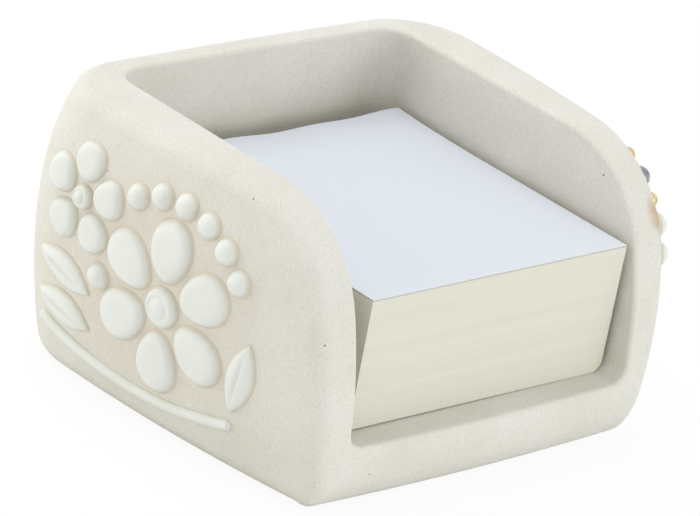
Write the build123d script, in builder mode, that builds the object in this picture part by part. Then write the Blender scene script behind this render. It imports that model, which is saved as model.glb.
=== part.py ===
import os
from math import cos, radians, sin, sqrt, tan

from build123d import *

# Note sheets: a square block of loose memo paper
sheet_side = 90.0
sheet_thickness = 0.2
block_height = 36.5
block_edge_rounding = 3.4
block_wall_gap = 1.5
block_back_gap = 8.2
block_front_gap = 7.3

# Cavity that the block stands in, open at the top and at the front
cavity_play = 7.4
cavity_width = sheet_side + cavity_play
cavity_depth = block_front_gap + sheet_side + block_back_gap
cavity_draft = 1.0
cavity_corner_radius = 7.0
cavity_floor_fillet = 4.0

# Outer form of the casting
height = 76.5
floor_thickness = 18.5
belly_height = 46.5
front_wall = 11.55
side_bulge = 8.6
back_flare = 9.6
back_wall = 12.4
back_bow = 1.0
back_corner_radius = 22.0
rim_inset = 4.2
base_inset = 4.8
barrel_steps = 5
front_width = cavity_width + 2 * front_wall
belly_width = front_width + 2 * side_bulge
back_width = front_width + 2 * back_flare

# Front of the casting: a face that bows forward, and the large curve up to the rim
front_bow = 1.9
front_base_inset = 5.4
front_toe_height = 14.0
front_lean = 4.4
front_curve_radius = 34.0

# Roundings: shares of the side walls' thickness at the front, at the rim and halfway up
rim_wall = front_wall - rim_inset - (height - floor_thickness) * tan(radians(cavity_draft))
edge_rounding = 0.74 * rim_wall
mouth_rounding = 0.19 * rim_wall
base_rounding = 0.6 * front_wall

# Hollow core of the casting and its vent hole
wall = 5.0
vent_radius = 6.0

# Raised ornament: how far each kind stands proud of the wall, and its size on the wall
petal_proud = 2.4
centre_proud = 3.0
leaf_proud = 2.2
leaf_length = 0.28 * height
leaf_width = 0.125 * height
berry_width = 0.09 * height
berry_proud = 3.0
bead_width = 4.4
bead_proud = 2.4
pearl_width = 7.0
pearl_proud = 3.2
silver_width = 6.0
silver_proud = 2.8
stem_proud = 1.6
stem_width = 0.039 * height
seat_depth = 2.0
ornament_shift = 6.0

# Places that follow from the sizes above
half_depth = (cavity_depth + back_wall + back_bow + front_bow + centre_proud) / 2
front_face_y = -half_depth
front_y = front_face_y + front_bow
cavity_back_y = front_y + cavity_depth
back_y = cavity_back_y + back_wall
past = 12.0
os.makedirs("parts", exist_ok=True)


# Names a finished piece and writes it
def finish(piece, name):
    piece.part.label = name
    export_step(piece.part, f"parts/{name}.step")


# How far the bulging walls stand inside their widest outline at a height
def barrel_inset(z):
    if z > belly_height:
        return rim_inset * ((z - belly_height) / (height - belly_height)) ** 2
    return base_inset * ((belly_height - z) / belly_height) ** 2


# Plan outline of the bulging walls at a height, running on past the front
def plan(z, grow):
    inset = barrel_inset(z) - grow
    front = front_width / 2 - inset
    belly = belly_width / 2 - inset
    back = back_width / 2 - inset
    far = back_y - inset
    near = front_y - past
    middle = (front_y + far) / 2
    with BuildSketch(Plane.XY.offset(z)) as outline:
        with BuildLine():
            side = ThreePointArc((front, front_y), (belly, middle), (back, far), mode=Mode.PRIVATE)
            end = side.arc_center.X + sqrt(side.radius**2 - (near - side.arc_center.Y) ** 2)
            Line((-end, near), (end, near))
            ThreePointArc((end, near), (belly, middle), (back, far))
            ThreePointArc((back, far), (0, far + back_bow), (-back, far))
            ThreePointArc((-back, far), (-belly, middle), (-end, near))
        make_face()
        fillet(outline.vertices().group_by(Axis.Y)[-1], back_corner_radius)
    return outline.sketch


# Bulging walls between two heights, grown or shrunk all round
def barrel(low, high, grow=0.0):
    rise = (high - low) / barrel_steps
    sections = [plan(low + step * rise, grow) for step in range(barrel_steps + 1)]
    with BuildPart() as form:
        loft(sections)
    return form.part


# What is cut away in front: a profile turned about a far upright axis, which bows the face in plan
def front_cutter(inward=0.0):
    bow_radius = ((front_width / 2) ** 2 + front_bow**2) / (2 * front_bow)
    turn = 10.0
    rise = height - front_curve_radius - front_toe_height
    lean_radius = front_curve_radius + (rise**2 + front_lean**2) / (2 * front_lean)
    curve_reach = bow_radius - front_lean - front_curve_radius
    lean_reach = bow_radius - lean_radius
    share = front_curve_radius / (lean_radius - front_curve_radius)
    meet_reach = curve_reach + (curve_reach - lean_reach) * share
    meet_z = height - front_curve_radius + rise * share
    clear = bow_radius + 3 * past
    axis_y = front_face_y + bow_radius + inward
    start = radians(90 + turn / 2)
    side_on = Plane((0, axis_y, 0), x_dir=(cos(start), -sin(start), 0), z_dir=(-sin(start), -cos(start), 0))
    with BuildPart() as cutter:
        with BuildSketch(side_on):
            with BuildLine():
                foot = (bow_radius - front_base_inset, 0)
                toe = TangentArc((bow_radius, front_toe_height), foot, tangent=(0, -1))
                lean = TangentArc(toe @ 0, (meet_reach, meet_z), tangent=(0, 1))
                curve = TangentArc(lean @ 1, (curve_reach, height), tangent=lean % 1)
                top = (curve_reach, height + past)
                Polyline(curve @ 1, top, (clear, height + past), (clear, 0), toe @ 1)
            make_face()
        revolve(axis=Axis((0, axis_y, 0), (0, 0, 1)), revolution_arc=turn)
    return cutter.part


# Space of the cavity, running on past the rim and the front; grown for the wall around it
def cavity(grow=0.0):
    low = floor_thickness - grow
    near = front_face_y - past
    far = cavity_back_y + grow
    with BuildPart() as space:
        with BuildSketch(Plane.XY.offset(low)) as floor:
            with Locations((0, (near + far) / 2)):
                Rectangle(cavity_width + 2 * grow, far - near)
            fillet(floor.vertices().group_by(Axis.Y)[-1], cavity_corner_radius + grow)
        extrude(amount=height + past - low, taper=-cavity_draft)
        floor_edges = space.faces().sort_by(Axis.Z)[0].edges().sort_by(Axis.Y)[1:]
        fillet(floor_edges, cavity_floor_fillet + grow)
    return space.part


# Whole outer form of the casting, with its rim, front and base edges rounded
bulge = barrel(0, height)
front_cut = front_cutter()
with BuildPart() as outer_form:
    add(bulge)
    add(front_cut, mode=Mode.SUBTRACT)
    rim_face = outer_form.faces().sort_by(Axis.Z)[-1]
    front_faces = outer_form.faces().filter_by(
        lambda face: abs(face.center().X) < 1 and face.center().Y < front_y + front_curve_radius
    )
    bounds = [edge for face in front_faces + [rim_face] for edge in face.edges()]
    outer_edges = [edge for edge in bounds if sum(edge.is_same(other) for other in bounds) == 1]
    fillet([edge for edge in outer_edges if edge.center().Z > mouth_rounding], edge_rounding)
    fillet(outer_form.faces().sort_by(Axis.Z)[0].edges(), base_rounding)
outer_shell = outer_form.part.shell()

# Hollow core between the outer form and the cavity
core_bulge = barrel(wall, height - wall - edge_rounding / 4, -wall)
core_front = front_cutter(wall)
core_cavity = cavity(wall)
with BuildPart() as core:
    add(core_bulge)
    add(core_front, mode=Mode.SUBTRACT)
    add(core_cavity, mode=Mode.SUBTRACT)

# The casting
cavity_space = cavity()
around_mouth = cavity(mouth_rounding)
with BuildPart() as holder_body:
    add(outer_form.part)
    add(cavity_space, mode=Mode.SUBTRACT)
    mouth_edges = holder_body.edges().filter_by(
        lambda edge: outer_shell.distance_to(edge @ 0.5) < 0.001 and around_mouth.is_inside(edge @ 0.5)
    )
    fillet(mouth_edges, mouth_rounding)
    add(core.part, mode=Mode.SUBTRACT)
    with Locations((0, 0, wall / 2)):
        Cylinder(vent_radius, 2 * wall, mode=Mode.SUBTRACT)
finish(holder_body, "holder_body")

side_middle = Vector(0, (front_y + back_y) / 2 + ornament_shift, 0)

# Walls that carry ornament: the way out, the way across, the middle of the ornament, the sense of turning
walls = {
    "left": (Vector(-1, 0, 0), Vector(0, -1, 0), side_middle, 1),
    "back": (Vector(0, 1, 0), Vector(-1, 0, 0), Vector(0, 0, 0), 1),
    "right": (Vector(1, 0, 0), Vector(0, -1, 0), side_middle, -1),
}

# Flowers: number of petals, then as shares of the height: across, up, radius to the middle of a petal, petal
# length and width, centre width
petal_counts = [6, 5]
flower_shares = [
    (0.14, 0.4725, 0.200, 0.225, 0.180, 0.145),
    (-0.295, 0.685, 0.125, 0.140, 0.136, 0.088),
]
flowers = list(zip(petal_counts, flower_shares))

# Shares of the height: across, up and then the turn of each leaf; across, up of each berry; across, up of
# the stem's two ends and its middle
leaves = [(-0.335, 0.400, -16), (-0.325, 0.258, -10), (0.503, 0.372, 79)]
berries = [
    (0.439, 0.690),
    (0.363, 0.768),
    (0.267, 0.820),
    (0.159, 0.842),
    (0.050, 0.832),
    (-0.051, 0.790),
    (-0.165, 0.452),
]
stem_points = [(-0.45, 0.19), (0.02, 0.12), (0.49, 0.19)]

# Row of beads round the front curve of the right wall: distance in from the edge, then places in degrees
bead_inset = 4.5
gold_places = [22, 49]
silver_places = [36]
pearl_places = [62, 77]


# Plane on a wall's surface, facing out, with its X across the wall and turned by an angle
def on_wall(side, across, up, turn=0.0):
    out, along, middle, sense = walls[side]
    ray = Axis(middle + along * across * height + Vector(0, 0, up * height), out)
    point, normal = outer_shell.find_intersection_points(ray)[-1]
    return Plane(point, x_dir=along.rotate(Axis(point, normal), turn * sense), z_dir=normal)


# Pillow that shows a length and a width where it meets a wall, and stands proud of it
def pillow(length, width, proud):
    thick = (width**2 / 4 + proud**2) / (2 * proud)
    reach = length * thick / width
    with BuildPart() as form:
        with BuildSketch(Plane.XZ):
            with BuildLine():
                EllipticalCenterArc((0, proud - thick), reach, thick, arc_size=180)
                Line((-reach, proud - thick), (reach, proud - thick))
            make_face()
        revolve(axis=Axis((0, 0, proud - thick), (1, 0, 0)))
        split(bisect_by=Plane.XY.offset(-seat_depth), keep=Keep.TOP)
    return form.part


# Dome that shows a width where it meets a wall, and stands proud of it
def dome(width, proud):
    radius = (width**2 / 4 + proud**2) / (2 * proud)
    with BuildPart() as form:
        with Locations((0, 0, proud - radius)):
            Sphere(radius)
        split(bisect_by=Plane.XY.offset(-seat_depth), keep=Keep.TOP)
    return form.part


# Almond leaf: a pillow trimmed to two arcs that meet in points
def leaf():
    spare = 1.5
    with BuildPart() as form:
        with BuildSketch():
            with BuildLine():
                ThreePointArc((-leaf_length / 2, 0), (0, leaf_width / 2), (leaf_length / 2, 0))
                ThreePointArc((-leaf_length / 2, 0), (0, -leaf_width / 2), (leaf_length / 2, 0))
            make_face()
        extrude(amount=leaf_width, both=True)
        add(pillow(leaf_length * spare, leaf_width * spare, leaf_proud), mode=Mode.INTERSECT)
    return form.part


# Raised pieces of one kind on a wall: each form with its places, seated on the outer form
def raise_on_wall(name, forms):
    with BuildPart() as raised:
        for form, places in forms:
            with Locations(places):
                add(form)
        add(outer_form.part, mode=Mode.SUBTRACT)
    finish(raised, name)


# Petals of one flower on a wall
def petals_of(side, flower):
    count, (across, up, ring, length, width, eye) = flower
    turns = [90 + 360 * step / count for step in range(count)]
    spots = [(across + ring * cos(radians(t)), up + ring * sin(radians(t)), t) for t in turns]
    return pillow(length * height, width * height, petal_proud), [on_wall(side, *spot) for spot in spots]


# Round centre of one flower on a wall
def centre_of(side, flower):
    count, (across, up, ring, length, width, eye) = flower
    return dome(eye * height, centre_proud), [on_wall(side, across, up)]


# Berries on a wall
def berries_on(side):
    return dome(berry_width, berry_proud), [on_wall(side, *spot) for spot in berries]


# Beads round the front curve of the right wall
def beads_on_curve(width, proud, places):
    out, along, middle, sense = walls["right"]
    reach = front_curve_radius - bead_inset
    centre = middle.Y - (front_y + front_lean + front_curve_radius)
    low = height - front_curve_radius
    spots = [(centre + reach * sin(radians(t)), low + reach * cos(radians(t))) for t in places]
    return dome(width, proud), [on_wall("right", across / height, up / height) for across, up in spots]


# Curved stem that hugs a wall
def stem_on(side):
    out, along, middle, sense = walls[side]
    clear = belly_width
    points = [(across * height, up * sense * height) for across, up in stem_points]
    line = ThreePointArc(points[0], points[1], points[2])
    with BuildPart() as stem:
        with BuildSketch(Plane(middle + out * clear, x_dir=along, z_dir=out)):
            SlotArc(line, stem_width)
        extrude(amount=-clear)
        add(barrel(0, height, stem_proud), mode=Mode.INTERSECT)
        add(outer_form.part, mode=Mode.SUBTRACT)
    finish(stem, f"{side}_stem")


for side in walls:
    raise_on_wall(f"{side}_petals", [petals_of(side, flower) for flower in flowers])
    raise_on_wall(f"{side}_leaves", [(leaf(), [on_wall(side, *spot) for spot in leaves])])
    stem_on(side)
    raise_on_wall(f"{side}_flower_centres", [centre_of(side, flower) for flower in flowers])
for side in ("left", "back"):
    raise_on_wall(f"{side}_berries", [berries_on(side)])
raise_on_wall("right_berries", [berries_on("right"), beads_on_curve(pearl_width, pearl_proud, pearl_places)])
raise_on_wall("right_silver_bead", [beads_on_curve(silver_width, silver_proud, silver_places)])
raise_on_wall("right_gold_beads", [beads_on_curve(bead_width, bead_proud, gold_places)])

# Block of note sheets, pushed towards the right wall; its lower right edge rides up on the cavity's fillet
block_x = cavity_width / 2 - block_wall_gap - sheet_side / 2
block_y = cavity_back_y - block_back_gap - sheet_side / 2
with BuildPart() as note_block:
    with BuildSketch(Plane.XY.offset(floor_thickness)):
        with Locations((block_x, block_y)):
            Rectangle(sheet_side, sheet_side)
    extrude(amount=block_height)
    low_edges = note_block.faces().sort_by(Axis.Z)[0].edges()
    fillet(low_edges.sort_by(Axis.X)[-1], block_edge_rounding)
finish(note_block, "note_block")

# The sheet that is taken next, lying on the block
with BuildPart() as top_sheet:
    with BuildSketch(Plane.XY.offset(floor_thickness + block_height)):
        with Locations((block_x, block_y)):
            Rectangle(sheet_side, sheet_side)
    extrude(amount=sheet_thickness)
finish(top_sheet, "top_sheet")
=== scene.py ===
import random
from math import cos, exp, pi, radians, sin, sqrt

import bmesh
import bpy
from mathutils import Matrix, Vector
from mathutils.bvhtree import BVHTree


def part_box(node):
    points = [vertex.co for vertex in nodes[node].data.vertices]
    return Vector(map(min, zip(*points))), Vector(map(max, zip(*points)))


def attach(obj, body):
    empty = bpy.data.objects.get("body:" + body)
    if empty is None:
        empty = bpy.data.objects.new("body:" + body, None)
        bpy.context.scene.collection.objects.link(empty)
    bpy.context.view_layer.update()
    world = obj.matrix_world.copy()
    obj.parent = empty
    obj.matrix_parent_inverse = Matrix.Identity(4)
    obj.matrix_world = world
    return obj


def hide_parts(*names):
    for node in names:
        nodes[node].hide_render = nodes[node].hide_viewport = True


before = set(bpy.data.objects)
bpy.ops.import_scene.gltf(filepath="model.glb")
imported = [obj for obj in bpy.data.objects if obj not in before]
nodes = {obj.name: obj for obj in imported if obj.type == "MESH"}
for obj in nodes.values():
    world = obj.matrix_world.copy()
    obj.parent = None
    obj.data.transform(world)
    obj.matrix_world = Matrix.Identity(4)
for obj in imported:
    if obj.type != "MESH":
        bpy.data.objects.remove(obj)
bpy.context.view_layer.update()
mm = 0.001
dice = random.Random(11)
bpy.context.scene.view_settings.view_transform = "Standard"
print("frame loaded:", len(nodes), "nodes")


def tone(red, green, blue):  # a colour as a paint program shows it, 0 to 255
    values = [part / 255 for part in (red, green, blue)]
    return [v / 12.92 if v <= 0.04045 else ((v + 0.055) / 1.055) ** 2.4 for v in values] + [1.0]


class Wire:  # an output socket: arithmetic on it adds Math nodes
    def __init__(self, graph, socket):
        self.graph = graph
        self.socket = socket

    def join(self, operation, first, second):
        return self.graph.add("Math", {"operation": operation}, {0: first, 1: second})

    def __add__(self, other):
        return self.join("ADD", self, other)

    def __sub__(self, other):
        return self.join("SUBTRACT", self, other)

    def __rsub__(self, other):
        return self.join("SUBTRACT", other, self)

    def __mul__(self, other):
        return self.join("MULTIPLY", self, other)

    def __lt__(self, other):
        return self.join("LESS_THAN", self, other)

    __radd__ = __add__
    __rmul__ = __mul__


class Graph:  # a node tree, and the nodes that are added to it
    def __init__(self, tree):
        self.tree = tree

    def add(self, kind, settings=None, sockets=None, out=0):
        made = self.tree.nodes.new("ShaderNode" + kind)
        for key, value in (settings or {}).items():
            setattr(made, key, value)
        for key, value in (sockets or {}).items():
            if isinstance(value, Wire):
                self.tree.links.new(value.socket, made.inputs[key])
            else:
                made.inputs[key].default_value = value
        return Wire(self, made.outputs[out])

    def noise(self, where, scale, detail, rough):
        values = {"Vector": where, "Scale": scale, "Detail": detail, "Roughness": rough}
        return self.add("TexNoise", {}, values)

    def sway(self, noise, size):  # a noise made to swing to either side of 0
        return size * (noise - 0.5)

    def spread(self, wire, low, high):  # stretches a range to 0..1, clamped
        return self.add("MapRange", {"clamp": True}, {0: wire, 1: low, 2: high, 3: 0.0, 4: 1.0})

    def blend(self, factor, first, second):
        return self.add("Mix", {"data_type": "RGBA"}, {0: factor, 6: first, 7: second}, out=2)

    def near(self, where, spot, size):  # 0 at a spot, 1 on an egg-shaped bound round it
        offset = self.add("VectorMath", {"operation": "SUBTRACT"}, {0: where, 1: spot})
        share = self.add("VectorMath", {"operation": "DIVIDE"}, {0: offset, 1: size})
        return self.add("VectorMath", {"operation": "LENGTH"}, {0: share}, out="Value")

    def bump(self, height, distance, strength):
        return self.add("Bump", {}, {"Height": height, "Distance": distance, "Strength": strength})


class Finish(Graph):  # a material, and what feeds its shader
    def __init__(self, name, values):
        self.material = bpy.data.materials.new(name)
        self.material.use_nodes = True
        super().__init__(self.material.node_tree)
        self.shader = self.tree.nodes["Principled BSDF"]
        for socket, value in values.items():
            self.shader.inputs[socket].default_value = value

    def feed(self, socket, wire):
        self.tree.links.new(wire.socket, self.shader.inputs[socket])


# matte cast clay: soft mottling, fine specks, a few pinholes, grain that catches the light
bisqueLook = {
    "shader": {"Roughness": 0.9, "Specular IOR Level": 0.25},
    "light": tone(221, 219, 211),
    "dark": tone(214, 211, 201),
    "mottle": (48, 3.0, 0.55),  # noises: scale, detail, roughness
    "grain": (1500, 3.0, 0.6),
    "coarse": (450, 2.0, 0.5),
    "mottleRange": (0.3, 0.7),
    "speck": tone(190, 186, 173),
    "grainRange": (0.48, 0.76),
    "grainShare": 0.5,
    "coarseRange": (0.64, 0.82),
    "coarseShare": 0.1,
    "pinhole": tone(96, 84, 68),
    "pinholeScale": 70,
    "pinholeSize": 0.022,
    "pinholeShare": 0.8,
    "pinholeDepth": 2.0,
    "tintAndShade": tone(212, 202, 184),  # warmer, darker tan on the ground of the ornament: partly a tint of the clay, partly painted shade among the raised pieces
    "tintAndShadeSpots": [  # middle and reach on each wall
        ((-69 * mm, -1 * mm, 37 * mm), (12 * mm, 42 * mm, 36 * mm)),
        ((69 * mm, -1 * mm, 37 * mm), (12 * mm, 42 * mm, 36 * mm)),
        ((-4 * mm, 58 * mm, 37 * mm), (42 * mm, 10 * mm, 36 * mm)),
    ],
    "tintAndShadeRange": (1.0, 0.5),
    "tintAndShadeSway": 0.5,
    "tintAndShadeShare": 0.4,
    "stain": tone(186, 150, 112),  # lustre that ran below the beads of the right wall
    "stainSpot": (59.5 * mm, -50 * mm, 61 * mm),
    "stainSize": (4 * mm, 4.5 * mm, 9 * mm),
    "stainRange": (1.0, 0.3),
    "stainSway": 0.7,
    "stainShare": 0.7,
    "rough": 0.84,
    "roughGrain": 0.12,
    "bumpShares": (0.55, 0.45),  # grain, coarse grain
    "bump": (0.06 * mm, 0.75),  # height, strength
}


def makeBisque(look):
    clay = Finish("bisque", look["shader"])
    where = clay.add("TexCoord", out="Object")
    mottle, grain, coarse = (clay.noise(where, *look[key]) for key in ("mottle", "grain", "coarse"))
    pores = clay.add("TexVoronoi", {}, {"Vector": where, "Scale": look["pinholeScale"]})
    pinhole = pores < look["pinholeSize"]
    ground = clay.blend(clay.spread(mottle, *look["mottleRange"]), look["dark"], look["light"])
    # painted shade among the ornament, mixed with a warm tint of the clay, darker towards the middle of
    # each wall's ornament
    for spot, size in look["tintAndShadeSpots"]:
        reach = clay.near(where, spot, size) + clay.sway(mottle, look["tintAndShadeSway"])
        tintedAndShaded = clay.spread(reach, *look["tintAndShadeRange"])
        ground = clay.blend(tintedAndShaded * look["tintAndShadeShare"], ground, look["tintAndShade"])
    fineSpecks = clay.spread(grain, *look["grainRange"]) * look["grainShare"]
    coarseSpecks = clay.spread(coarse, *look["coarseRange"]) * look["coarseShare"]
    ground = clay.blend(fineSpecks + coarseSpecks, ground, look["speck"])
    reach = clay.near(where, look["stainSpot"], look["stainSize"]) + clay.sway(coarse, look["stainSway"])
    stained = clay.spread(reach, *look["stainRange"])
    ground = clay.blend(stained * look["stainShare"], ground, look["stain"])
    clay.feed("Base Color", clay.blend(pinhole * look["pinholeShare"], ground, look["pinhole"]))
    clay.feed("Roughness", look["rough"] + look["roughGrain"] * grain)
    grainShare, coarseShare = look["bumpShares"]
    height = grainShare * grain + coarseShare * coarse - pinhole * look["pinholeDepth"]
    clay.feed("Normal", clay.bump(height, *look["bump"]))
    return clay.material


# satin white glaze that thins to clay along the foot of each raised piece; the darker tan there is
# partly thin glaze, partly painted shade at the foot
glazeLook = {
    "shader": {"Roughness": 0.55, "Specular IOR Level": 0.32, "Coat Roughness": 0.35},
    "white": tone(225, 228, 222),
    "cool": tone(221, 224, 217),
    # clay under thin glaze, darkened as painted shade at the foot of the raised pieces
    "thinGlazeFootShade": tone(208, 200, 182),
    "cloud": (90, 2.0, 0.5),  # noises: scale, detail, roughness
    "fine": (900, 2.0, 0.5),
    "cloudRange": (0.35, 0.65),
    "cover": (0.06, 0.5),  # rise at which the glaze begins, and is full
    "coverSway": (0.16, 0.1),  # by the cloud, by the fine noise
    "rough": 0.84,
    "roughCover": 0.26,
    "roughSway": 0.06,
    "coat": 0.08,
    "bumpShares": (0.7, 0.3),  # cloud, fine noise
    "bump": (0.12 * mm, 0.5),  # height, strength
}


def makeGlaze(look):
    glaze = Finish("whiteGlaze", look["shader"])
    where = glaze.add("TexCoord", out="Object")
    rise = glaze.add("Attribute", {"attribute_name": "rise"}, out="Fac")
    cloud, fine = (glaze.noise(where, *look[key]) for key in ("cloud", "fine"))
    cloudSway, fineSway = look["coverSway"]
    wobble = rise + glaze.sway(cloud, cloudSway) + glaze.sway(fine, fineSway)
    cover = glaze.spread(wobble, *look["cover"])
    white = glaze.blend(glaze.spread(cloud, *look["cloudRange"]), look["cool"], look["white"])
    # low on each raised piece the colour goes to the darker tan: thin glaze and painted shade at the
    # foot
    glaze.feed("Base Color", glaze.blend(cover, look["thinGlazeFootShade"], white))
    rough = look["rough"] - look["roughCover"] * cover + glaze.sway(fine, look["roughSway"])
    glaze.feed("Roughness", rough)
    glaze.feed("Coat Weight", look["coat"] * cover)
    cloudShare, fineShare = look["bumpShares"]
    glaze.feed("Normal", glaze.bump(cloudShare * cloud + fineShare * fine, *look["bump"]))
    return glaze.material


# painted metal lustre, fired on: a little uneven in colour and polish
lustreLook = {
    "gold": {"bright": tone(226, 208, 156), "deep": tone(204, 178, 118), "rough": 0.2},
    "silver": {"bright": tone(176, 178, 184), "deep": tone(112, 113, 120), "rough": 0.16},
    "cloud": (420, 3.0, 0.5),  # noises: scale, detail, roughness
    "fine": (1600, 2.0, 0.5),
    "cloudRange": (0.35, 0.65),
    "fineRange": (0.4, 0.75),
    "roughFine": 0.18,
    "bump": (0.05 * mm, 0.5),  # height, strength
}


def makeLustre(name, look):
    paint = look[name]
    metal = Finish(name + "Lustre", {"Metallic": 1.0, "Roughness": paint["rough"]})
    where = metal.add("TexCoord", out="Object")
    cloud, fine = (metal.noise(where, *look[key]) for key in ("cloud", "fine"))
    share = metal.spread(cloud, *look["cloudRange"])
    metal.feed("Base Color", metal.blend(share, paint["deep"], paint["bright"]))
    worn = metal.spread(fine, *look["fineRange"])
    metal.feed("Roughness", paint["rough"] + look["roughFine"] * worn)
    metal.feed("Normal", metal.bump(cloud, *look["bump"]))
    return metal.material


# loose note paper: white faces with a cool tint that is painted cool light from above, cream cut edges
# with the lines of the sheets
paperLook = {
    "shader": {"Roughness": 0.88, "Specular IOR Level": 0.2},
    # the cool tint of the faces is painted cool light from above
    "face": tone(215, 219, 226),
    "faceShade": tone(211, 215, 222),
    "edge": tone(216, 214, 200),
    "edgeShade": tone(213, 211, 196),
    "line": tone(203, 199, 180),
    "sheetStretch": (14.0, 14.0, 2600),  # flat, so that the noise makes lines
    "bandStretch": (6.0, 6.0, 420),
    "sheets": (1.0, 2.0, 0.7),  # noises: scale, detail, roughness
    "bands": (1.0, 3.0, 0.6),
    "fibre": (1100, 3.0, 0.65),
    "topRange": (0.6, 0.9),  # how far up a face looks
    "bandRange": (0.34, 0.66),
    "lineRange": (0.6, 0.82),
    "lineShare": 0.35,
    "bumpShares": (0.7, 0.3, 0.18),  # sheets, bands, fibre
    "bump": (0.09 * mm, 0.6),  # height, strength
}


def makePaper(look):
    paper = Finish("notePaper", look["shader"])
    where = paper.add("TexCoord", out="Object")
    flat = paper.add("Mapping", {}, {"Vector": where, "Scale": look["sheetStretch"]})
    wide = paper.add("Mapping", {}, {"Vector": where, "Scale": look["bandStretch"]})
    sheets = paper.noise(flat, *look["sheets"])
    bands = paper.noise(wide, *look["bands"])
    fibre = paper.noise(where, *look["fibre"])
    facing = paper.add("NewGeometry", out="Normal")
    lift = paper.add("SeparateXYZ", {}, {0: facing}, out="Z")
    # faces that look up get the cool white: painted cool light from above on the paper's white
    isTop = paper.spread(lift, *look["topRange"])
    edge = paper.blend(paper.spread(bands, *look["bandRange"]), look["edgeShade"], look["edge"])
    lines = paper.spread(sheets, *look["lineRange"]) * look["lineShare"]
    edge = paper.blend(lines, edge, look["line"])
    face = paper.blend(fibre, look["faceShade"], look["face"])
    paper.feed("Base Color", paper.blend(isTop, edge, face))
    sheetShare, bandShare, fibreShare = look["bumpShares"]
    relief = (1 - isTop) * (sheetShare * sheets + bandShare * bands) + isTop * fibreShare * fibre
    paper.feed("Normal", paper.bump(relief, *look["bump"]))
    return paper.material


finishes = {
    "bisque": makeBisque(bisqueLook),
    "whiteGlaze": makeGlaze(glazeLook),
    "gold": makeLustre("gold", lustreLook),
    "silver": makeLustre("silver", lustreLook),
    "paper": makePaper(paperLook),
}
print("finishes made:", ", ".join(finishes))


# a finished bmesh becomes a piece that stands for a node
def settle(mesh, name, finish, body, node, smooth=True):
    bmesh.ops.recalc_face_normals(mesh, faces=mesh.faces[:])
    data = bpy.data.meshes.new(name)
    mesh.to_mesh(data)
    mesh.free()
    data.polygons.foreach_set("use_smooth", [smooth] * len(data.polygons))
    data.materials.append(finishes[finish])
    piece = bpy.data.objects.new(name, data)
    bpy.context.scene.collection.objects.link(piece)
    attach(piece, body)
    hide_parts(node)
    return piece


def settleRelief(mesh, side, name, node):  # white ornament of one wall
    settle(mesh, side + name, "whiteGlaze", "holder", side + node)


body = nodes["holder_body"]
body.data.materials.clear()
body.data.materials.append(finishes["bisque"])
bodyTree = BVHTree.FromObject(body, bpy.context.evaluated_depsgraph_get())

# walls that carry ornament: ways out and across, middle of the ornament, sense of turning
tall = 76.5 * mm  # height of the holder: the ornament is laid out in shares of it
sideMiddle = 4.95 * mm
walls = {
    "left": {"out": (-1, 0, 0), "along": (0, -1, 0), "middle": (0, sideMiddle, 0), "sense": 1},
    "back": {"out": (0, 1, 0), "along": (-1, 0, 0), "middle": (0, 0, 0), "sense": 1},
    "right": {"out": (1, 0, 0), "along": (0, -1, 0), "middle": (0, sideMiddle, 0), "sense": -1},
}
rayStart = {"wall": 0.2, "drape": 12 * mm}  # how far out a ray begins


def touchWall(start, heading):  # where a ray meets the holder, and which way the wall faces there
    return bodyTree.ray_cast(start, heading)[:2]


def wallSpot(side, across, up):  # the same for a place given in shares of the height
    out, along, middle = (Vector(walls[side][key]) for key in ("out", "along", "middle"))
    start = middle + along * across * tall + Vector((0, 0, up * tall)) + out * rayStart["wall"]
    return touchWall(start, -out)


def wallPlane(side, across, up, turn=0.0):  # a place on a wall: Z out of it, X across it and turned
    spot, normal = wallSpot(side, across, up)
    along = Vector(walls[side]["along"])
    flat = (along - normal * along.dot(normal)).normalized()
    flat.rotate(Matrix.Rotation(radians(turn * walls[side]["sense"]), 3, normal))
    axes = Matrix((flat, normal.cross(flat), normal)).transposed()
    return Matrix.Translation(spot) @ axes.to_4x4()


def drape(part, plane, proud):  # lays a flat part on the wall, keeping its heights above it
    rise = part.verts.layers.float["rise"]
    normal = plane.to_3x3().col[2].copy()
    for vert in part.verts:
        height = vert.co.z
        flat = plane @ Vector((vert.co.x, vert.co.y, 0))
        spot = touchWall(flat + normal * rayStart["drape"], -normal)[0]
        vert.co = (spot or flat) + normal * height
        vert[rise] = max(0.0, height / proud)


def absorb(mesh, part):  # adds a finished part to a piece
    data = bpy.data.meshes.new("part")
    part.to_mesh(data)
    part.free()
    mesh.from_mesh(data)
    bpy.data.meshes.remove(data)


def newMesh():  # rise: 0 at the foot of a raised form, and more towards its top
    mesh = bmesh.new()
    mesh.verts.layers.float.new("rise")
    return mesh


# flowers: places and sizes are shares of the height
flowers = [
    {
        "petals": 6, "across": 0.14, "up": 0.4725, "ring": 0.2,
        "length": 0.225, "width": 0.18, "centre": 0.145,
    },
    {
        "petals": 5, "across": -0.295, "up": 0.685, "ring": 0.125,
        "length": 0.14, "width": 0.136, "centre": 0.088,
    },
]
petalSet = {
    "proud": 2.4 * mm,
    "segments": 44,
    "egg": 0.16,  # how much wider the outer end is
    "firstTurn": 90,  # the first petal points up
    "profile": [  # share of the outline, share of the height
        (1.07, -0.05), (1.03, 0.03), (0.995, 0.11), (0.96, 0.23), (0.92, 0.39), (0.88, 0.55),
        (0.84, 0.69), (0.79, 0.8), (0.73, 0.88), (0.65, 0.94), (0.54, 0.98), (0.4, 1.0), (0.2, 1.0),
    ],
}


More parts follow.
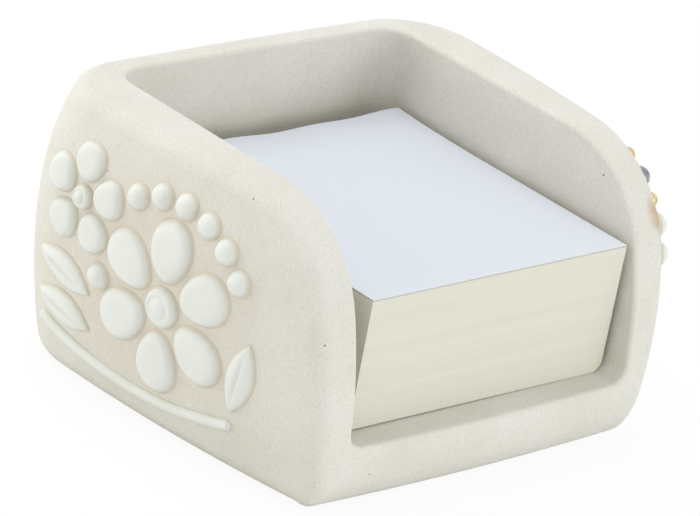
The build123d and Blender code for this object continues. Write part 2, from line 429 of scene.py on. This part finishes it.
def addPetal(mesh, plane, length, width):  # a round blank, raised ring by ring and stretched
    part = newMesh()
    last, foot = petalSet["profile"][0]
    bmesh.ops.create_circle(part, cap_ends=True, segments=petalSet["segments"], radius=last)
    bmesh.ops.translate(part, verts=part.verts[:], vec=(0, 0, foot * petalSet["proud"]))
    top = part.faces[:][0]
    for share, height in petalSet["profile"][1:]:
        bmesh.ops.inset_individual(part, faces=[top], thickness=0.0, depth=0.0)
        bmesh.ops.scale(part, vec=(share / last, share / last, 1.0), verts=top.verts[:])
        for vert in top.verts:
            vert.co.z = height * petalSet["proud"]
        last = share
    bmesh.ops.poke(part, faces=[top])
    for vert in part.verts:
        vert.co.y *= width / 2 * (1 + petalSet["egg"] * vert.co.x)
        vert.co.x *= length / 2
    drape(part, plane, petalSet["proud"])
    absorb(mesh, part)


def makePetals(side):
    mesh = newMesh()
    for flower in flowers:
        for step in range(flower["petals"]):
            turn = petalSet["firstTurn"] + 360 * step / flower["petals"]
            across = flower["across"] + flower["ring"] * cos(radians(turn))
            up = flower["up"] + flower["ring"] * sin(radians(turn))
            plane = wallPlane(side, across, up, turn)
            addPetal(mesh, plane, flower["length"] * tall, flower["width"] * tall)
    settleRelief(mesh, side, "Petals", "_petals")


# round flower centres: a ring round a button
centreSet = {
    "proud": 3.0 * mm,
    "steps": 36,
    "weld": 0.01 * mm,
    "profile": [  # share of the radius, share of the height
        (1.06, -0.1), (1.02, 0.04), (0.97, 0.18), (0.91, 0.38), (0.84, 0.56), (0.75, 0.68), (0.66, 0.7),
        (0.58, 0.65), (0.51, 0.66), (0.45, 0.75), (0.37, 0.87), (0.26, 0.95), (0.12, 1.0), (0.0, 1.0),
    ],
}


def addButton(mesh, plane, width, look):  # a profile spun round the line out of the wall
    part = newMesh()
    line = []
    for share, height in look["profile"]:
        line.append(part.verts.new((share * width / 2, 0, height * look["proud"])))
    edges = [part.edges.new(pair) for pair in zip(line, line[1:])]
    bmesh.ops.spin(
        part, geom=line + edges, cent=(0, 0, 0), axis=(0, 0, 1), angle=2 * pi,
        steps=look["steps"], use_merge=True,
    )
    bmesh.ops.remove_doubles(part, verts=part.verts[:], dist=look["weld"])
    drape(part, plane, look["proud"])
    absorb(mesh, part)


def makeCentres(side):
    mesh = newMesh()
    for flower in flowers:
        plane = wallPlane(side, flower["across"], flower["up"])
        addButton(mesh, plane, flower["centre"] * tall, centreSet)
    settleRelief(mesh, side, "Centres", "_flower_centres")


# almond leaves with a groove along the middle
leafSet = {
    "places": [(-0.335, 0.400, -16), (-0.325, 0.258, -10), (0.503, 0.372, 79)],  # across, up, turn
    "length": 0.28 * tall,
    "width": 0.125 * tall,
    "proud": 2.2 * mm,
    "crownAcross": (2.2, 0.95),  # powers of the rounding
    "crownAlong": (3.0, 0.6),
    "groove": 0.38,  # depth, as a share of the height
    "grooveWidth": 0.13,
    "grooveFade": 0.3,
    "footDrop": 0.12,
    "footBelow": 0.001,  # share of the height that counts as the foot
    "cuts": (36, 20),
    "weld": 0.004 * mm,
}


def crown(share, powers):  # 1 in the middle, 0 at either edge
    inner, outer = powers
    return max(0.0, 1 - abs(share) ** inner) ** outer


def addLeaf(mesh, plane):
    part = newMesh()
    along, across = leafSet["cuts"]
    bmesh.ops.create_grid(part, x_segments=along, y_segments=across, size=1.0)
    for vert in part.verts:
        u, v = sin(vert.co.x * pi / 2), sin(vert.co.y * pi / 2)
        taper = 1 - u * u
        side, tip = crown(v, leafSet["crownAcross"]), crown(u, leafSet["crownAlong"])
        cut = leafSet["groove"] * leafSet["proud"] * exp(-((v / leafSet["grooveWidth"]) ** 2))
        height = leafSet["proud"] * side * tip - cut * taper * (1 - abs(u)) ** leafSet["grooveFade"]
        if side * tip < leafSet["footBelow"]:
            height -= leafSet["footDrop"] * leafSet["proud"]
        vert.co = (u * leafSet["length"] / 2, v * taper * leafSet["width"] / 2, height)
    bmesh.ops.remove_doubles(part, verts=part.verts[:], dist=leafSet["weld"])
    drape(part, plane, leafSet["proud"])
    absorb(mesh, part)


def makeLeaves(side):
    mesh = newMesh()
    for place in leafSet["places"]:
        addLeaf(mesh, wallPlane(side, *place))
    settleRelief(mesh, side, "Leaves", "_leaves")


# domes of metal and white glaze along the front curve of the right wall
beadSet = {
    "inset": 4.5 * mm,  # in from the edge of the front curve
    "curveRadius": 34 * mm,
    "curveCentre": (-21.6 * mm, 42.5 * mm),  # Y, Z
    "gold": {"angles": [22, 49], "width": 4.4 * mm, "proud": 2.4 * mm},
    "silver": {"angles": [36], "width": 6.0 * mm, "proud": 2.8 * mm},
    "pearl": {"angles": [62, 77], "width": 7.0 * mm, "proud": 3.2 * mm},
    "segments": (32, 20),
    "buried": 0.9 * mm,  # how far the dome goes on below the wall
    "riseGain": 2.4,  # takes the glaze further down
}


def addDome(mesh, plane, width, proud):
    part = newMesh()
    radius = (width * width / 4 + proud * proud) / (2 * proud)
    around, upright = beadSet["segments"]
    bmesh.ops.create_uvsphere(part, u_segments=around, v_segments=upright, radius=radius)
    bmesh.ops.translate(part, verts=part.verts[:], vec=(0, 0, proud - radius))
    whole = part.verts[:] + part.edges[:] + part.faces[:]
    cut = (0, 0, -beadSet["buried"])
    bmesh.ops.bisect_plane(part, geom=whole, plane_co=cut, plane_no=(0, 0, 1), clear_inner=True)
    rise = part.verts.layers.float["rise"]
    for vert in part.verts:
        vert[rise] = max(0.0, vert.co.z / proud) * beadSet["riseGain"]
    part.transform(plane)
    absorb(mesh, part)


def curvePlane(angle):  # a place along the front curve, by its angle from the rim
    reach = beadSet["curveRadius"] - beadSet["inset"]
    y = beadSet["curveCentre"][0] - reach * sin(radians(angle))
    z = beadSet["curveCentre"][1] + reach * cos(radians(angle))
    return wallPlane("right", (sideMiddle - y) / tall, z / tall)


def addBeads(mesh, kind):
    look = beadSet[kind]
    for angle in look["angles"]:
        addDome(mesh, curvePlane(angle), look["width"], look["proud"])


def makeBeads(kind, name, node):
    mesh = newMesh()
    addBeads(mesh, kind)
    settle(mesh, name, kind, "holder", node)


# soft round bumps
berrySet = {
    "places": [  # across, up
        (0.439, 0.690), (0.363, 0.768), (0.267, 0.820), (0.159, 0.842), (0.050, 0.832), (-0.051, 0.790),
        (-0.165, 0.452),
    ],
    "width": 0.09 * tall,
    "proud": 3.0 * mm,
    "steps": 28,
    "weld": 0.01 * mm,
    "profile": [  # share of the radius, share of the height
        (1.2, -0.05), (1.12, 0.02), (1.05, 0.08), (0.98, 0.19), (0.9, 0.35), (0.81, 0.53), (0.7, 0.7),
        (0.57, 0.84), (0.42, 0.94), (0.27, 0.99), (0.13, 1.0), (0.0, 1.0),
    ],
}


def makeBerries(side):
    mesh = newMesh()
    for place in berrySet["places"]:
        addButton(mesh, wallPlane(side, *place), berrySet["width"], berrySet)
    if side == "right":
        addBeads(mesh, "pearl")
    settleRelief(mesh, side, "Berries", "_berries")


# one curved stem under the flowers: its line is given in shares of the height
stemSet = {
    "middle": 0.02,
    "half": 0.47,  # half of its span
    "ends": 0.19,
    "low": 0.12,
    "width": 0.039 * tall,
    "proud": 1.6 * mm,
    "sunk": 0.15 * mm,
    "riseGain": 1.5,
    "cuts": (110, 12),
    "roundEnd": 0.018,
    "weld": 0.004 * mm,
}


def makeStem(side):
    sag = stemSet["ends"] - stemSet["low"]
    radius = (stemSet["half"] ** 2 + sag**2) / (2 * sag)
    mesh = newMesh()
    rise = mesh.verts.layers.float["rise"]
    cutsAlong, cutsAcross = stemSet["cuts"]
    bmesh.ops.create_grid(mesh, x_segments=cutsAlong, y_segments=cutsAcross, size=1.0)
    for vert in mesh.verts:
        u, v = vert.co.x, sin(vert.co.y * pi / 2)
        past = max(0.0, (abs(u) - 1 + stemSet["roundEnd"]) / stemSet["roundEnd"])
        narrow = sqrt(max(0.0, 1 - past * past))
        lean = u * stemSet["half"] / radius
        spread = v * narrow * stemSet["width"] / 2 / tall
        across = stemSet["middle"] + (radius + spread) * sin(lean)
        up = stemSet["low"] + radius - (radius + spread) * cos(lean)
        height = stemSet["proud"] * sqrt(max(0.0, 1 - v * v)) * narrow
        spot, normal = wallSpot(side, across, up)
        vert.co = spot + normal * (height - stemSet["sunk"])
        vert[rise] = stemSet["riseGain"] * height / stemSet["proud"]
    bmesh.ops.remove_doubles(mesh, verts=mesh.verts[:], dist=stemSet["weld"])
    settleRelief(mesh, side, "Stem", "_stem")


for side in walls:
    makePetals(side)
    makeCentres(side)
    makeLeaves(side)
    makeBerries(side)
    makeStem(side)
makeBeads("gold", "rightGoldBeads", "right_gold_beads")
makeBeads("silver", "rightSilverBead", "right_silver_bead")
print("ornament laid on", len(walls), "walls")

# block of loose sheets: many thin layers, a little out of line
blockSet = {
    "layers": 72,
    "stray": 0.025 * mm,
    "cornerRound": 3.4 * mm,  # along the foot of the right side
    "cornerSegments": 8,
    "cornerReach": 1 * mm,  # an edge this close to that corner is rounded
    "seam": (0.25 * mm, 0.7 * mm),  # height and depth of the shadow line under the top sheet
    "lidDrop": 0.05 * mm,  # keeps the top of the block clear of the sheet
    "undercut": (0.6 * mm, 2.0 * mm),  # height and depth of the shadow line at the foot
    "level": 0.01 * mm,  # heights closer than this are the same
    "flatFacing": 0.9,  # a face that looks up or down by more than this is flat
}


def cutLayers(mesh, low, high):
    layers = blockSet["layers"]
    for layer in range(1, layers):
        height = low.z + (high.z - low.z) * layer / layers
        whole = mesh.verts[:] + mesh.edges[:] + mesh.faces[:]
        bmesh.ops.bisect_plane(mesh, geom=whole, plane_co=(0, 0, height), plane_no=(0, 0, 1))
    shifts = {}
    for vert in mesh.verts:
        layer = round((vert.co.z - low.z) / (high.z - low.z) * layers)
        if layer not in shifts:
            shift = Vector((dice.uniform(-1, 1), dice.uniform(-1, 1), 0))
            shifts[layer] = shift * blockSet["stray"]
        if 0 < layer < layers:
            vert.co += shifts[layer]


def cutShadowLines(mesh, low, high):  # sets back the outer rims of the top and of the foot
    flat, level = blockSet["flatFacing"], blockSet["level"]
    drop, depth = blockSet["seam"]
    lid = [face for face in mesh.faces if face.normal.z > flat]
    bmesh.ops.inset_region(mesh, faces=lid, thickness=depth, depth=0.0)
    inner = list({vert for face in lid for vert in face.verts})
    bmesh.ops.translate(mesh, verts=inner, vec=(0, 0, -blockSet["lidDrop"]))
    for vert in mesh.verts:
        if vert.co.z > high.z - level:
            vert.co.z -= drop
    rise, depth = blockSet["undercut"]
    down = [face for face in mesh.faces if face.normal.z < -flat]
    base = [face for face in down if face.calc_center_median().z < low.z + level]
    bmesh.ops.inset_region(mesh, faces=base, thickness=depth, depth=0.0)
    inner = {vert for face in base for vert in face.verts}
    for vert in mesh.verts:
        if vert.co.z < low.z + level and vert not in inner:
            vert.co.z += rise


def makeBlock():
    low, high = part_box("note_block")
    mesh = bmesh.new()
    bmesh.ops.create_cube(mesh, size=1.0)
    bmesh.ops.scale(mesh, vec=high - low, verts=mesh.verts)
    bmesh.ops.translate(mesh, vec=(high + low) / 2, verts=mesh.verts)
    right, foot = high.x - blockSet["cornerReach"], low.z + blockSet["cornerReach"]
    corner = [e for e in mesh.edges if all(v.co.x > right and v.co.z < foot for v in e.verts)]
    bmesh.ops.bevel(
        mesh, geom=corner, offset=blockSet["cornerRound"], offset_type="OFFSET",
        segments=blockSet["cornerSegments"], profile=0.5, affect="EDGES", material=-1,
    )
    cutLayers(mesh, low, high)
    cutShadowLines(mesh, low, high)
    return settle(mesh, "noteBlock", "paper", "block", "note_block", smooth=False)


# the loose sheet on top: its back edge lifts a little
sheetSet = {
    "cuts": 60,
    "wave": 1.1 * mm,
    "start": 0.5,  # share of its depth that lies flat
    "power": 3,
    "level": 0.5,
    "swells": [(0.3, 2.3, 0.4), (0.2, 6.4, 1.0)],  # size, half waves, phase
}


def sheetLift(x, y, low, high):
    u = (x - low.x) / (high.x - low.x)
    v = (y - low.y) / (high.y - low.y)
    back = max(0.0, v - sheetSet["start"]) / (1 - sheetSet["start"])
    swell = sheetSet["level"]
    for size, waves, phase in sheetSet["swells"]:
        swell += size * sin(waves * pi * u + phase)
    return sheetSet["wave"] * back ** sheetSet["power"] * swell


def makeTopSheet():
    low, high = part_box("top_sheet")
    middle = (high + low) / 2
    mesh = bmesh.new()
    cuts = sheetSet["cuts"]
    bmesh.ops.create_grid(mesh, x_segments=cuts, y_segments=cuts, size=0.5)
    bmesh.ops.scale(mesh, vec=(high.x - low.x, high.y - low.y, 1.0), verts=mesh.verts)
    bmesh.ops.translate(mesh, vec=(middle.x, middle.y, high.z), verts=mesh.verts)
    for vert in mesh.verts:
        vert.co.z += sheetLift(vert.co.x, vert.co.y, low, high)
    bmesh.ops.solidify(mesh, geom=mesh.faces[:], thickness=high.z - low.z)
    settle(mesh, "topSheet", "paper", "sheet", "top_sheet", smooth=False)


block = makeBlock()
makeTopSheet()
print("paper stacked:", len(block.data.polygons), "faces in the block")


# floor and world: white to the camera, with the soft shadow kept
stageSet = {
    "size": 6.0,
    "drop": 0.1 * mm,  # keeps the floor out of the plane of the flat base
    "paint": tone(240, 240, 240),
    "white": (1, 1, 1, 1),
    "whiteShare": 0.92,
    "skyLight": 0.8,
}


def seenShare(graph):  # 1 where the camera, a reflection or glass sees the surface
    seen = graph.add("LightPath", out="Is Camera Ray")
    shine = graph.add("LightPath", out="Is Glossy Ray")
    through = graph.add("LightPath", out="Is Transmission Ray")
    return seen.join("MAXIMUM", seen.join("MAXIMUM", seen, shine), through)


def makeFloor():
    mesh = bmesh.new()
    bmesh.ops.create_grid(mesh, x_segments=1, y_segments=1, size=stageSet["size"] / 2)
    bmesh.ops.translate(mesh, verts=mesh.verts[:], vec=(0, 0, -stageSet["drop"]))
    data = bpy.data.meshes.new("floor")
    mesh.to_mesh(data)
    mesh.free()
    matte = {"Base Color": stageSet["paint"], "Roughness": 1.0, "Specular IOR Level": 0.0}
    ground = Finish("floorPaint", matte)
    painted = Wire(ground, ground.shader.outputs[0])
    glow = ground.add("Emission", {}, {"Color": stageSet["white"], "Strength": 1.0})
    share = seenShare(ground) * stageSet["whiteShare"]
    both = ground.add("MixShader", {}, {0: share, 1: painted, 2: glow})
    ground.tree.links.new(both.socket, ground.tree.nodes["Material Output"].inputs["Surface"])
    data.materials.append(ground.material)
    floor = bpy.data.objects.new("floor", data)
    bpy.context.scene.collection.objects.link(floor)


def makeSky():
    sky = bpy.data.worlds.new("studio")
    bpy.context.scene.world = sky
    sky.use_nodes = True
    share = seenShare(Graph(sky.node_tree))
    background = sky.node_tree.nodes["Background"]
    background.inputs["Color"].default_value = stageSet["white"]
    strength = stageSet["skyLight"] + (1 - stageSet["skyLight"]) * share
    sky.node_tree.links.new(strength.socket, background.inputs["Strength"])


# soft boxes: one above and behind, a warm one behind on the left, one in front
lamps = {
    "topSoftbox": {
        "place": (-0.1, 0.7, 1.25), "size": 1.2, "power": 8.6, "colour": (0.95, 0.98, 1.0),
    },
    "leftSoftbox": {
        "place": (-1.1, 1.0, 0.25), "size": 0.8, "power": 5.2, "colour": (1.0, 0.94, 0.82),
    },
    "frontSoftbox": {
        "place": (0.35, -1.4, 0.22), "size": 0.9, "power": 7.4, "colour": (0.95, 0.99, 1.0),
    },
}
lampTarget = (0, 0, 0.04)


def makeLamps():
    for name, look in lamps.items():
        data = bpy.data.lights.new(name, "AREA")
        data.shape = "DISK"
        data.size = look["size"]
        data.energy = look["power"]
        data.color = look["colour"]
        lamp = bpy.data.objects.new(name, data)
        lamp.location = look["place"]
        aim = Vector(lampTarget) - lamp.location
        lamp.rotation_euler = aim.to_track_quat("-Z", "Y").to_euler()
        bpy.context.scene.collection.objects.link(lamp)


makeFloor()
makeSky()
makeLamps()

# long lens, tilted frame, as the photograph was taken
cameraSet = {
    "azimuth": -46.14,
    "elevation": 23.61,
    "roll": 10.84,
    "distance": 1.17525,
    "target": (-1.15 * mm, -2.07 * mm, 36.78 * mm),
    "lens": 231.43,
    "sensor": 36,
    "farthest": 20,
}


def makeCamera():
    turn, lift, roll = (radians(cameraSet[key]) for key in ("azimuth", "elevation", "roll"))
    back = Vector((sin(turn) * cos(lift), -cos(turn) * cos(lift), sin(lift)))
    level = Vector((cos(turn), sin(turn), 0))
    upright = back.cross(level)
    right = level * cos(roll) + upright * sin(roll)
    up = upright * cos(roll) - level * sin(roll)
    data = bpy.data.cameras.new("camera")
    data.sensor_width = cameraSet["sensor"]
    data.lens = cameraSet["lens"]
    data.clip_end = cameraSet["farthest"]
    camera = bpy.data.objects.new("camera", data)
    place = Vector(cameraSet["target"]) + back * cameraSet["distance"]
    axes = Matrix((right, up, back)).transposed()
    camera.matrix_world = Matrix.Translation(place) @ axes.to_4x4()
    bpy.context.scene.collection.objects.link(camera)
    bpy.context.scene.camera = camera


makeCamera()
print("stage, lamps and camera set")
